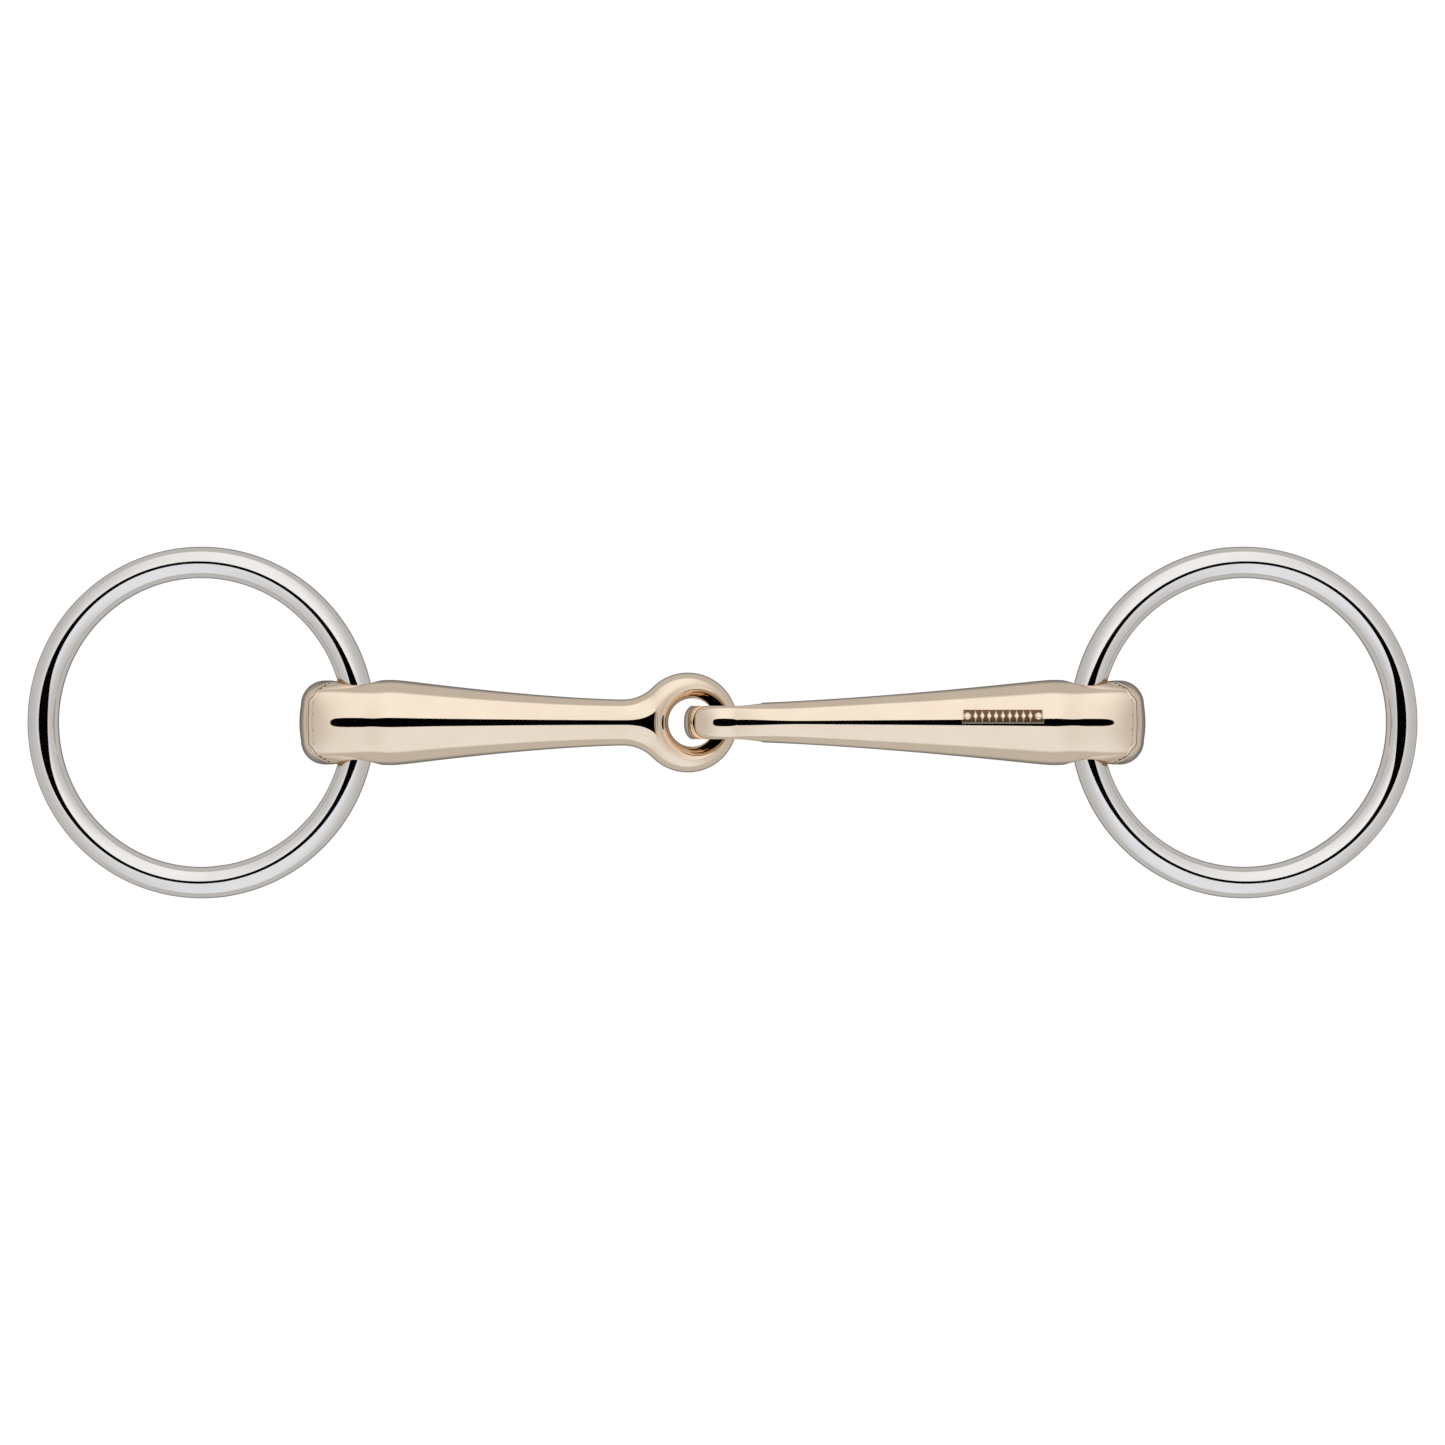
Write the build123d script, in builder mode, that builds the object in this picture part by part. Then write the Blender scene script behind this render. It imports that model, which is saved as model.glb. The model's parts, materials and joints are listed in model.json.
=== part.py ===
from build123d import *
import math
import os

# Single-jointed loose-ring snaffle bit, lying flat on its back.
# X runs along the mouthpiece, Y along both ring bores, Z up; units are millimetres.
# The origin is on the surface it lies on, below the middle of the whole length.

# Rings: round wire bent into a circle and welded
RING_INSIDE_DIAMETER = 55.0
WIRE_DIAMETER = 6.0
RING_PLAY = 0.25            # free radius left round the curved wire in its bore

# Cannons: where each one starts and how it is arched
BORE_SPACING = 139.0        # between the two bore axes, across the mouth
BUTT_LIFT = 0.9             # the butts' backs above the surface
BORE_INSET = 11.1           # bore axis to the outer end of the butt
ARCH_RADIUS = 205.0         # of each arm's centre line, in the X-Z plane

# Butt: the drilled outer end
BUTT_HEIGHT = 16.0          # across the side band, along Y
BUTT_CORNER = 4.6           # corner radius of the butt seen from the front
BUTT_END_DOME = 0.3         # how far the end face bulges
BUTT_CROWN = 16.9           # height the crowned face would have at the end without its side band
BUTT_THICKNESS = 15.9       # front to back
BUTT_ROLL = 13.3            # length over which front and back roll over towards the end
BUTT_FALL = 5.2             # how far they would fall at the start of the roll
BUTT_ROLL_POWER = 4.25      # how late the roll happens
BAND_DRAFT = 22.0           # degrees the side band leans in, each way from its middle
BAND_RELEASE = 6.5          # from the end, where the side band runs out
MOUTH_FLARE = 0.9           # extra radius of the bore at its rounded mouths
BLANK_OVERHANG = 0.5        # how far the blank runs past the end before the side band is cut
CUT_CLEARANCE = 1.0         # how far cutters reach past the metal
BLOCK_TRIM = 0.01           # keeps the cutter's faces off the ends of the outline taken from it

# Arms: from the swell beside the ring down to the neck
WAIST_HEIGHT = 15.3         # at the bore mouths
WAIST_FROM_BORE = 2.2
SWELL_HEIGHT = 16.2         # the thickest place
SWELL_FROM_BORE = 6.6
SWELL_ROUNDING = 1.8        # how gently the swell turns into the taper
NECK_WIDTH = 8.75           # the narrowest place, in the plane of the eye
TAPER_POWER = 1.5           # 1 would be a straight cone

OUTLINE_STEPS = 12          # spline points over half a section
BUTT_STATIONS = (-BLANK_OVERHANG, 0.2, 1.2, 2.8, 5.0, 8.0)      # from the end, up to the waist
ARM_STATIONS = (0, 0.1, 0.2, 0.4, 0.6, 0.8, 1)                  # shares from the swell to the blend
EYE_STATIONS = (0.84, 0.68, 0.54, 0.4, 0.26, 0.13, 0)           # shares of the blend left to the eye's centre

# Eyes: the linked inner ends, the left one lying flat and the right one standing on edge
FLAT_EYE_DIAMETER = 19.0
UPRIGHT_EYE_DIAMETER = 15.6
FLAT_EYE_BLEND = 8.0        # concave radius between neck and eye
UPRIGHT_EYE_BLEND = 28.0
EYE_THICKNESS = 7.2
EYE_SQUARENESS = 4.0        # superellipse exponent of an eye's section; 2 is an ellipse
LINK_ROOM = 2.0             # free play of one eye's thickness in the waist of the other's hourglass hole
EYE_RIM_FLARE = 3.2         # how much further out the hole's crisp rim is than its waist
FLAT_EYE_TIP_WALL = 4.1
UPRIGHT_EYE_TIP_WALL = 3.2

# How the eyes lie in each other
FLAT_EYE_X = -6.6           # centre of the flat eye
LINK_SLACK = 2.93           # how far the arms are pushed together from taut
UPRIGHT_EYE_LIFT = 0.05     # the upright eye all but touches the surface
FLAT_EYE_RISE = 0.4         # the flat eye's middle above the upright eye's

RING_RADIUS = (RING_INSIDE_DIAMETER + WIRE_DIAMETER) / 2
WIRE_RADIUS = WIRE_DIAMETER / 2
EYE_HALF = EYE_THICKNESS / 2
BORE_HALF_LENGTH = WAIST_HEIGHT / 2
WIRE_SAGITTA = RING_RADIUS - math.sqrt(RING_RADIUS**2 - BORE_HALF_LENGTH**2)
BORE_RADIUS = WIRE_RADIUS + WIRE_SAGITTA / 2 + RING_PLAY
BORE_X = BORE_SPACING / 2
BORE_HEIGHT = BUTT_THICKNESS / 2 + BUTT_LIFT
EYE_THROAT_RADIUS = (EYE_THICKNESS + LINK_ROOM) / 2


class Eye:
    """One arm's eye: its side, round outline, blend into the neck, tip wall, place and hole direction."""

    def __init__(self, side, diameter, blend, tip_wall, x, height, faces_front):
        self.side = side
        self.radius = diameter / 2
        self.blend = blend
        self.hole_offset = self.radius - tip_wall - EYE_THROAT_RADIUS
        self.x = x
        self.height = height
        self.faces_front = faces_front


FLAT_TAUT = FLAT_EYE_DIAMETER / 2 - FLAT_EYE_TIP_WALL
UPRIGHT_TAUT = UPRIGHT_EYE_DIAMETER / 2 - UPRIGHT_EYE_TIP_WALL
UPRIGHT_EYE_X = FLAT_EYE_X + FLAT_TAUT + UPRIGHT_TAUT - LINK_SLACK
UPRIGHT_EYE_HEIGHT = UPRIGHT_EYE_DIAMETER / 2 + UPRIGHT_EYE_LIFT
FLAT_EYE_HEIGHT = UPRIGHT_EYE_HEIGHT + FLAT_EYE_RISE

FLAT_EYE = Eye(-1, FLAT_EYE_DIAMETER, FLAT_EYE_BLEND, FLAT_EYE_TIP_WALL, FLAT_EYE_X, FLAT_EYE_HEIGHT, True)
UPRIGHT_EYE = Eye(
    1, UPRIGHT_EYE_DIAMETER, UPRIGHT_EYE_BLEND, UPRIGHT_EYE_TIP_WALL, UPRIGHT_EYE_X, UPRIGHT_EYE_HEIGHT, False
)


def arm_plane(eye, distance):
    """Section plane at a distance from the butt's end along the arched centre line.

    The plane's x is along +Y and its z towards the joint.
    """
    run = BORE_X - eye.side * eye.x
    rise = eye.height - BORE_HEIGHT
    half_sweep = math.asin(math.hypot(run, rise) / 2 / ARCH_RADIUS)
    start = math.atan2(rise, run) + half_sweep
    here = start - (distance - BORE_INSET) / ARCH_RADIUS
    x = BORE_X - ARCH_RADIUS * (math.sin(start) - math.sin(here))
    z = BORE_HEIGHT + ARCH_RADIUS * (math.cos(here) - math.cos(start))
    towards_joint = (-eye.side * math.cos(here), 0, math.sin(here))
    return Plane(origin=(eye.side * x, 0, z), x_dir=(0, 1, 0), z_dir=towards_joint)


def eye_distance(eye):
    """Distance of the eye's centre from the butt's end, along the centre line."""
    chord = math.hypot(BORE_X - eye.side * eye.x, eye.height - BORE_HEIGHT)
    return BORE_INSET + 2 * ARCH_RADIUS * math.asin(chord / 2 / ARCH_RADIUS)


def blend_start(eye):
    """How far before the eye's centre the neck's straight side turns into the concave blend."""
    return math.sqrt((eye.radius + eye.blend) ** 2 - (NECK_WIDTH / 2 + eye.blend) ** 2)


def tapered(distance, end, end_half):
    """Half size at a distance between the swell and a later place where the taper ends."""
    swell = BORE_INSET + SWELL_FROM_BORE
    rounded = math.hypot(max(distance - swell, 0), SWELL_ROUNDING) - SWELL_ROUNDING
    whole = math.hypot(end - swell, SWELL_ROUNDING) - SWELL_ROUNDING
    return end_half + (SWELL_HEIGHT / 2 - end_half) * (1 - min(rounded / whole, 1)) ** TAPER_POWER


def eye_half_width(eye, before_centre):
    """Half width of neck, concave blend and round eye, at a distance before the eye's centre."""
    blend_height = NECK_WIDTH / 2 + eye.blend
    start = blend_start(eye)
    meeting = start * eye.radius / (eye.radius + eye.blend)
    if before_centre >= meeting:
        return blend_height - math.sqrt(eye.blend**2 - (start - before_centre) ** 2)
    return math.sqrt(eye.radius**2 - before_centre**2)


def arm_section(eye, distance):
    """Half size across the eye's plane, half size along the eye's axis, and squareness."""
    eye_at = eye_distance(eye)
    neck_at = eye_at - blend_start(eye)
    if distance < neck_at:
        wide = tapered(distance, neck_at, NECK_WIDTH / 2)
    else:
        wide = eye_half_width(eye, eye_at - distance)
    thick = tapered(distance, eye_at, EYE_HALF)
    share = min(max((distance - neck_at) / (eye_at - neck_at), 0), 1)
    square = 2 + (EYE_SQUARENESS - 2) * share * share * (3 - 2 * share)
    return wide, thick, square


def butt_section(distance):
    """Half height along Y and half thickness of the crowned butt, up to the waist at the bore."""
    waist_at = BORE_INSET + WAIST_FROM_BORE
    height = BUTT_CROWN + (WAIST_HEIGHT - BUTT_CROWN) * distance / waist_at
    rolled = max(BUTT_ROLL - distance, 0) / (BUTT_ROLL + BLANK_OVERHANG)
    fall = BUTT_FALL * rolled**BUTT_ROLL_POWER
    return height / 2, BUTT_THICKNESS / 2 - fall


def half_outline(half_x, half_y, square):
    """Points of a superellipse from its lowest to its highest point, on the +x side."""
    points = []
    for step in range(OUTLINE_STEPS + 1):
        angle = math.pi * (step / OUTLINE_STEPS - 0.5)
        x = half_x * abs(math.cos(angle)) ** (2 / square)
        y = half_y * abs(math.sin(angle)) ** (2 / square) * math.copysign(1, math.sin(angle))
        points.append((x, y))
    points[0] = (0, -half_y)
    points[-1] = (0, half_y)
    return points


def section_face(plane, half_x, half_y, square):
    """Closed section face of two mirrored half outlines."""
    points = half_outline(half_x, half_y, square)
    with BuildSketch(plane) as sketch:
        with BuildLine():
            Spline(*points, tangents=((1, 0), (-1, 0)))
            Spline(*[(-x, y) for x, y in points], tangents=((-1, 0), (1, 0)))
        make_face()
    return sketch.sketch


def round_eye_end(eye, plane, eye_axis):
    """The tip half of the eye: half of its section turned half a turn about the eye's axis."""
    across = plane.z_dir.cross(eye_axis)
    with BuildPart() as end:
        with BuildSketch(Plane(origin=plane.origin, x_dir=across, z_dir=across.cross(eye_axis))):
            with BuildLine():
                Spline(*half_outline(eye.radius, EYE_HALF, EYE_SQUARENESS), tangents=((1, 0), (-1, 0)))
                Line((0, EYE_HALF), (0, -EYE_HALF))
            make_face()
        revolve(axis=Axis(plane.origin, eye_axis), revolution_arc=180)
    return end.part


def butt_outline(plane, inset):
    """Front outline of the butt's end, running out past the bore; inset shrinks end, sides and corners."""
    half = BUTT_HEIGHT / 2 - inset
    corner = BUTT_CORNER - inset
    straight = half - corner
    end = inset - BORE_INSET
    corner_start = end + BUTT_END_DOME
    corner_end = corner_start + corner
    corner_x = corner_end - corner * math.sqrt(0.5)
    corner_y = straight + corner * math.sqrt(0.5)
    release = BAND_RELEASE - BORE_INSET
    with BuildSketch(plane) as outline:
        with BuildLine():
            ThreePointArc((corner_start, -straight), (end, 0), (corner_start, straight))
            ThreePointArc((corner_start, straight), (corner_x, corner_y), (corner_end, half))
            Polyline((corner_end, half), (release, half), (BUTT_CORNER, half + BUTT_CORNER))
            Line((BUTT_CORNER, half + BUTT_CORNER), (BUTT_CORNER, -half - BUTT_CORNER))
            Polyline((BUTT_CORNER, -half - BUTT_CORNER), (release, -half), (corner_end, -half))
            ThreePointArc((corner_end, -half), (corner_x, -corner_y), (corner_start, -straight))
        make_face()
    return outline.sketch


def band_cutter(plane):
    """What stands outside the side band: a block round the butt's end, less the band's leaning outline."""
    reach = BUTT_THICKNESS / 2 + CUT_CLEARANCE
    lean = reach * math.tan(math.radians(BAND_DRAFT))
    middle = plane.origin - plane.x_dir * BORE_INSET
    outlines = [
        butt_outline(plane.offset(-reach), lean),
        butt_outline(plane, 0),
        butt_outline(plane.offset(reach), lean),
    ]
    with BuildPart() as cutter:
        with BuildSketch(Plane(origin=middle, x_dir=plane.x_dir, z_dir=plane.z_dir)):
            Rectangle(2 * BORE_INSET, BUTT_HEIGHT + BUTT_CORNER)
        extrude(amount=reach - BLOCK_TRIM, both=True)
        loft(outlines, ruled=True, mode=Mode.SUBTRACT)
    return cutter.part


def bore_cutter(plane):
    """Straight hole for the ring with trumpet mouths, as a solid round the bore's axis."""
    mouth = BORE_HALF_LENGTH - MOUTH_FLARE
    reach = BORE_HALF_LENGTH + MOUTH_FLARE
    flared = BORE_RADIUS + 2 * MOUTH_FLARE
    with BuildPart() as cutter:
        with BuildSketch(Plane(origin=plane.origin, x_dir=plane.x_dir, z_dir=(0, 0, 1))):
            with BuildLine():
                Polyline((-mouth, BORE_RADIUS), (mouth, BORE_RADIUS))
                TangentArc((mouth, BORE_RADIUS), (reach, flared), tangent=(1, 0))
                Polyline((reach, flared), (reach, 0), (-reach, 0), (-reach, flared))
                TangentArc((-mouth, BORE_RADIUS), (-reach, flared), tangent=(-1, 0))
            make_face()
        revolve(axis=Axis(plane.origin, plane.x_dir))
    return cutter.part


def eye_hole_cutter(eye, plane, eye_axis):
    """Hourglass hole: its convex wall is an arc from rim to throat to rim."""
    throat = EYE_THROAT_RADIUS
    rim = throat + EYE_RIM_FLARE
    beyond = EYE_HALF + CUT_CLEARANCE
    centre = plane.origin + plane.z_dir * eye.hole_offset
    with BuildPart() as cutter:
        with BuildSketch(Plane(origin=centre, x_dir=plane.z_dir, z_dir=plane.z_dir.cross(eye_axis))):
            with BuildLine():
                ThreePointArc((rim, -EYE_HALF), (throat, 0), (rim, EYE_HALF))
                Polyline((rim, EYE_HALF), (rim, beyond), (0, beyond))
                Polyline((0, beyond), (0, -beyond), (rim, -beyond), (rim, -EYE_HALF))
            make_face()
        revolve(axis=Axis(centre, eye_axis))
    return cutter.part


def arm_sections(eye):
    """Section faces of one arm from butt to eye centre; the butt's crown first, then taper, neck and eye."""
    eye_at = eye_distance(eye)
    neck_at = eye_at - blend_start(eye)
    swell_at = BORE_INSET + SWELL_FROM_BORE
    arm_stations = [swell_at + share * (neck_at - swell_at) for share in ARM_STATIONS]
    eye_stations = [eye_at - share * blend_start(eye) for share in EYE_STATIONS]
    sections = []
    for distance in (*BUTT_STATIONS, BORE_INSET + WAIST_FROM_BORE):
        height, thickness = butt_section(distance)
        sections.append(section_face(arm_plane(eye, distance), height, thickness, 2))
    for distance in arm_stations + eye_stations:
        wide, thick, square = arm_section(eye, distance)
        along_y, along_z = (wide, thick) if eye.faces_front else (thick, wide)
        sections.append(section_face(arm_plane(eye, distance), along_y, along_z, square))
    return sections


def front_plane(section_plane):
    """Plane through a section's centre facing the front, its x towards the joint."""
    towards_joint = section_plane.z_dir
    facing = towards_joint.cross(Vector(0, 1, 0))
    return Plane(origin=section_plane.origin, x_dir=towards_joint, z_dir=facing)


def ring(side, bore_plane):
    """Round wire turned about the ring's centre; its outer edge rests on the surface."""
    sine = (BORE_HEIGHT - WIRE_RADIUS) / (2 * RING_RADIUS - WIRE_SAGITTA / 2)
    outward = Vector(side * math.sqrt(1 - sine**2), 0, -sine)
    centre = bore_plane.origin + outward * (RING_RADIUS - WIRE_SAGITTA / 2)
    facing = outward.cross(Vector(0, 1, 0))
    with BuildPart() as loop:
        with BuildSketch(Plane(origin=centre + outward * RING_RADIUS, x_dir=outward, z_dir=(0, 1, 0))):
            Circle(WIRE_RADIUS)
        revolve(axis=Axis(centre, facing))
    return loop.part


left_bore = arm_plane(FLAT_EYE, BORE_INSET)
right_bore = arm_plane(UPRIGHT_EYE, BORE_INSET)
left_eye = arm_plane(FLAT_EYE, eye_distance(FLAT_EYE))
right_eye = arm_plane(UPRIGHT_EYE, eye_distance(UPRIGHT_EYE))
left_eye_axis = left_eye.z_dir.cross(Vector(0, 1, 0))
right_eye_axis = Vector(0, 1, 0)

# Left cannon: its eye's hole faces the front
with BuildPart() as left_cannon:
    loft(arm_sections(FLAT_EYE))
    add(band_cutter(front_plane(left_bore)), mode=Mode.SUBTRACT)
    add(bore_cutter(left_bore), mode=Mode.SUBTRACT)
    add(round_eye_end(FLAT_EYE, left_eye, left_eye_axis))
    add(eye_hole_cutter(FLAT_EYE, left_eye, left_eye_axis), mode=Mode.SUBTRACT)

# Right cannon: its eye is turned a quarter turn, so the hole runs along Y
with BuildPart() as right_cannon:
    loft(arm_sections(UPRIGHT_EYE))
    add(band_cutter(front_plane(right_bore)), mode=Mode.SUBTRACT)
    add(bore_cutter(right_bore), mode=Mode.SUBTRACT)
    add(round_eye_end(UPRIGHT_EYE, right_eye, right_eye_axis))
    add(eye_hole_cutter(UPRIGHT_EYE, right_eye, right_eye_axis), mode=Mode.SUBTRACT)

# Rings: each passes through its cannon's bore
with BuildPart() as left_ring:
    add(ring(-1, left_bore))

with BuildPart() as right_ring:
    add(ring(1, right_bore))

link_centre = right_eye.origin + right_eye.z_dir * UPRIGHT_EYE.hole_offset
print("left bore axis through", tuple(left_bore.origin))
print("right bore axis through", tuple(right_bore.origin))
print("fold axis through", tuple(link_centre))

os.makedirs("parts", exist_ok=True)
left_cannon.part.label = "left_cannon"
right_cannon.part.label = "right_cannon"
left_ring.part.label = "left_ring"
right_ring.part.label = "right_ring"
export_step(left_cannon.part, "parts/left_cannon.step")
export_step(right_cannon.part, "parts/right_cannon.step")
export_step(left_ring.part, "parts/left_ring.step")
export_step(right_ring.part, "parts/right_ring.step")
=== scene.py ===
import json
import math

import bmesh
import bpy
import numpy as np
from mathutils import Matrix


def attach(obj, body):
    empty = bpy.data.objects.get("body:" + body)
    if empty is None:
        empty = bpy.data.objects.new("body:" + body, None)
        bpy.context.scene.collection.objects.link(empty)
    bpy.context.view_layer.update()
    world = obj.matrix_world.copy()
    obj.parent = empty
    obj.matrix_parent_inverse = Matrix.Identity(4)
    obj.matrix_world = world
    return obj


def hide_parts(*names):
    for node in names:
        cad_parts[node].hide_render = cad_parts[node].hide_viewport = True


# A loose-ring snaffle bit, lying on a pale floor under a white light tent, seen from straight above.
# The model is in metres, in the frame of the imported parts: X along the mouthpiece, Y along the ring
# bores, Z up. Shapes are worked out in millimetres and turned to metres when a mesh is made.

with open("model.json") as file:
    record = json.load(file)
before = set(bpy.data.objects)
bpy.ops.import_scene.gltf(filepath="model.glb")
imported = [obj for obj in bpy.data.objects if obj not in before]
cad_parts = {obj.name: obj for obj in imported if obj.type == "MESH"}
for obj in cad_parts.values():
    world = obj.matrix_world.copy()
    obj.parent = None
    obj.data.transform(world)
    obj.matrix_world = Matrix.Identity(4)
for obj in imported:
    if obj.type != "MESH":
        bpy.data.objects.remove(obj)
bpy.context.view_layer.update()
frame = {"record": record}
MM = 0.001

# Rings
RING_RADIUS = 30.5
WIRE_RADIUS = 3.0
RING_STEPS = 400
WIRE_STEPS = 56
WELD_SWELL = 0.035            # how far the dressed weld stands out of the wire
WELD_WIDTH = 0.05             # of a turn, in radians
WELD_TURN = 1.7               # where the weld lies, in radians from the ring's outermost point
WAIST_SPAN = 15.3             # width of the butt that the ring reaches over

# Cannons, from the butt's end to the swell
BORE_INSET = 11.1             # from the butt's end to the middle of the bore
ARCH_RADIUS = 205.0
BUTT_HALF = 8.0
BUTT_CORNER = 4.6
BUTT_END_DOME = 0.3
BUTT_CROWN = 8.45
BUTT_THICK = 7.95
BUTT_ROLL = 13.3
BUTT_OVERHANG = 0.5
BUTT_FALL = 5.2
BUTT_ROLL_POWER = 4.25
BUTT_SQUARER = 0.13           # added to the section's exponent at the very end
SQUARER_FADE = 30.0           # and gone at this distance
BAND_LEAN = 0.25              # how the side band falls away from its middle ridge, per millimetre
BAND_RIDGE = 0.8              # how softly the ridge is rounded
BAND_BULGE = 0.03             # and how much more per millimetre squared
BAND_SHOULDER = 0.5           # extra fall at the shoulder beside the crease
BAND_FADE_AT = 2.5            # where the band's fall starts to fade out along the sides
BAND_SHOULDER_POWER = 16
BAND_RELEASE = 9.0
BAND_REACH = 14.0             # half depth of the block, well clear of the metal
BAND_PAST_CREASE = 1.06       # where the shoulder's fall stops growing, over the crease's depth
BAND_LEAST = 0.6              # least depth of the crease, where it meets the silhouette
BAND_RUN_OUT = 6.0            # how far and how wide the block runs out of the metal past the band
BLOCK_LENGTH = 120.0
CREASE_RADIUS = 0.085
CREASE_SINK = 0.35            # share of the seam's radius that it lies under the skin
CREASE_FADE = 6               # path points over which the seam thins out at both ends
CREASE_THINNEST = 0.02        # square of the share of radius left there
WAIST = 7.95
WAIST_AT = 13.5
CROWN_ENDS_AT = 9.0
SWELL = 8.1
SWELL_AT = 17.7
SWELL_ROUNDING = 1.8
TAPER_POWER = 1.5
NECK_HALF = 4.375
BORE_RADIUS = 3.7376
BORE_MOUTH = 5.5              # where each trumpet mouth starts, from the middle of the bore
MOUTH_ARC = 3.2               # radius of the trumpet's curve
MOUTH_SHORT = 0.999           # share of that arc used, just short of where it turns flat

# Eyes
EYE_HALF = 3.6
THROAT = 4.6
RIM = 7.8
HOLE_ARC = ((RIM - THROAT) ** 2 + EYE_HALF ** 2) / (2 * (RIM - THROAT))

# Grid steps
ALONG_STEPS = 280
NEAR_STEPS = 60               # from the end to where the crown's straight fall ends
NEAR_CROWDING = 1.6           # power that crowds them towards the end
AROUND_STEPS = 144
TIP_STEPS = 36
HOLE_STEPS = 180
HOLE_ROWS = 65
HOLE_OVERRUN = 1.0            # how far a hole's tool runs out of the metal
BORE_STEPS = 24
MOUTH_STEPS = 12
END_POINTS = 20               # of the band's outline over half the end, one corner and one side
CORNER_POINTS = 40
SIDE_POINTS = 8
DEPTH_ROWS = 161
CREASE_ROUNDS = 8             # repeats that settle the crease's depth and inset on each other
SEAM_STEPS = 10
PANEL_ROWS = 300
PANEL_COLUMNS = 64
SLOT_POINTS = 96
CURVE_STEP = 0.002            # for slopes taken by central difference
TINY = 1e-12

# Painted shade, from 0 to 1, and how far it reaches over the skin beside an opening
HOLE_SHADE = 0.15
BESIDE_BORE, BESIDE_BORE_REACH = 0.7, 0.4
BESIDE_HOLE, BESIDE_HOLE_REACH = 0.3, 0.25
LEAST_AGREEMENT = 0.8         # cosine under which an exact direction is not used

# Stamped panel: a plain row of lozenges between two beads
PANEL_START = 20.7
PANEL_END = 35.9
PANEL_LOW = -0.35
PANEL_HIGH = 2.85
PANEL_DEPTH = 0.3
PANEL_LIFT = 0.02             # how far its plate stands over the skin
PANEL_EDGE = 0.25             # width of the plate's bevel
GROUND_LIFT = 0.08            # the dark ground between the figures
RELIEF = 0.3                  # height of the figures
RELIEF_BEVEL = 0.45
LOZENGES = 9
LOZENGE_HALF = 0.46           # of the pitch
LOZENGE_CLEAR = 0.35          # from a lozenge's tip to the panel's edge
BEAD_ROOM = 2.0
BEAD_SHIFT = 0.15
BEAD_RADIUS = 0.8

# Polish: scales of its noises, in waves per metre, and how strongly each shows
WAVE_SCALE = 75
LINE_DETAIL = 3
LINE_HEIGHT = 0.012
CLOUD_SCALE = 170
CLOUD_DETAIL = 4
CLOUD_LOW, CLOUD_HIGH = 0.35, 0.75
CLOUD_SHARE = 0.10            # most of the deeper colour that a cloud brings
SPECK_SCALE = 2600
SPECK_LEVEL = 0.735
SPECK_ROUGHNESS = 0.06
LEAST_ROUGHNESS = 0.015

# Camera and tent
CAMERA_HEIGHT = 1.2
SENSOR = 36.0
FRAME_WIDTH = 0.2767          # what the square frame takes in at the object
SLOT_HALF_X = math.tan(math.radians(34))
SLOT_HALF_Y = math.tan(math.radians(9.4))
SLOT_HEIGHT = 1.1
FLOOR_HALF = 3.0
FLOOR_HEIGHT = -0.0001
FLOOR_GREY = (0.18, 0.18, 0.18, 1)
FLOOR_GLOW = 0.92
COOL_WALL = (0.86, 0.87, 0.90, 1)
WARM_WALL = (1.0, 0.985, 0.965, 1)
WALLS_MEET = 0.25             # how far each side of Y = 0 the two walls run into each other
TENT_ENDS = (0.60, 0.575, 0.56, 1)
BELOW = (0.56, 0.54, 0.52, 1)
STRAIGHT_BELOW = (0.16, 0.16, 0.16, 1)

BORE_X = abs(frame["record"]["behaviour"]["joints"][1]["pos_m"][0]) / MM
BORE_HEIGHT = frame["record"]["behaviour"]["joints"][1]["pos_m"][2] / MM


# ---------------------------------------------------------------- small tools


def linear(red, green, blue):
    """Scene-linear colour from 0-255 display values."""
    channels = np.array([red, green, blue]) / 255
    bright = ((channels + 0.055) / 1.055) ** 2.4
    dark = channels / 12.92
    return (*np.where(channels > 0.04045, bright, dark).tolist(), 1.0)


def smooth(share):
    """The usual S curve from 0 to 1."""
    share = np.clip(share, 0, 1)
    return share * share * (3 - 2 * share)


def through(x, knots):
    """Cubic through knots of place, value and slope, level beyond the first and last."""
    result = np.where(x < knots[0][0], knots[0][1], knots[-1][1])
    for (x0, v0, m0), (x1, v1, m1) in zip(knots, knots[1:]):
        width = x1 - x0
        u = (x - x0) / width
        value = (v0 * (1 + 2 * u) * (1 - u) ** 2 + v1 * (3 - 2 * u) * u ** 2
                 + width * (m0 * u * (1 - u) ** 2 + m1 * (u - 1) * u ** 2))
        result = np.where((x >= x0) & (x <= x1), value, result)
    return result


def grid_faces(rows, columns, closed_rows=False):
    """Quads of a grid whose columns run round and close; rows close too on a torus."""
    last = rows if closed_rows else rows - 1
    row, column = np.meshgrid(np.arange(last), np.arange(columns), indexing="ij")
    below = (row + 1) % rows
    right = (column + 1) % columns
    quads = np.stack([row * columns + column, below * columns + column,
                      below * columns + right, row * columns + right], axis=-1)
    return quads.reshape(-1, 4).tolist()


def solid(name, points, faces):
    """A closed mesh object from points in millimetres: doubles merged, faces turned outwards."""
    mesh = bpy.data.meshes.new(name)
    mesh.from_pydata((points.reshape(-1, 3) * MM).tolist(), [], faces)
    work = bmesh.new()
    work.from_mesh(mesh)
    bmesh.ops.remove_doubles(work, verts=work.verts, dist=1e-4 * MM)
    bmesh.ops.recalc_face_normals(work, faces=work.faces)
    work.to_mesh(mesh)
    work.free()
    mesh.shade_smooth()
    mesh.materials.append(bpy.data.materials.get(name) or bpy.data.materials.new(name))
    piece = bpy.data.objects.new(name, mesh)
    bpy.context.collection.objects.link(piece)
    return piece


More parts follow.
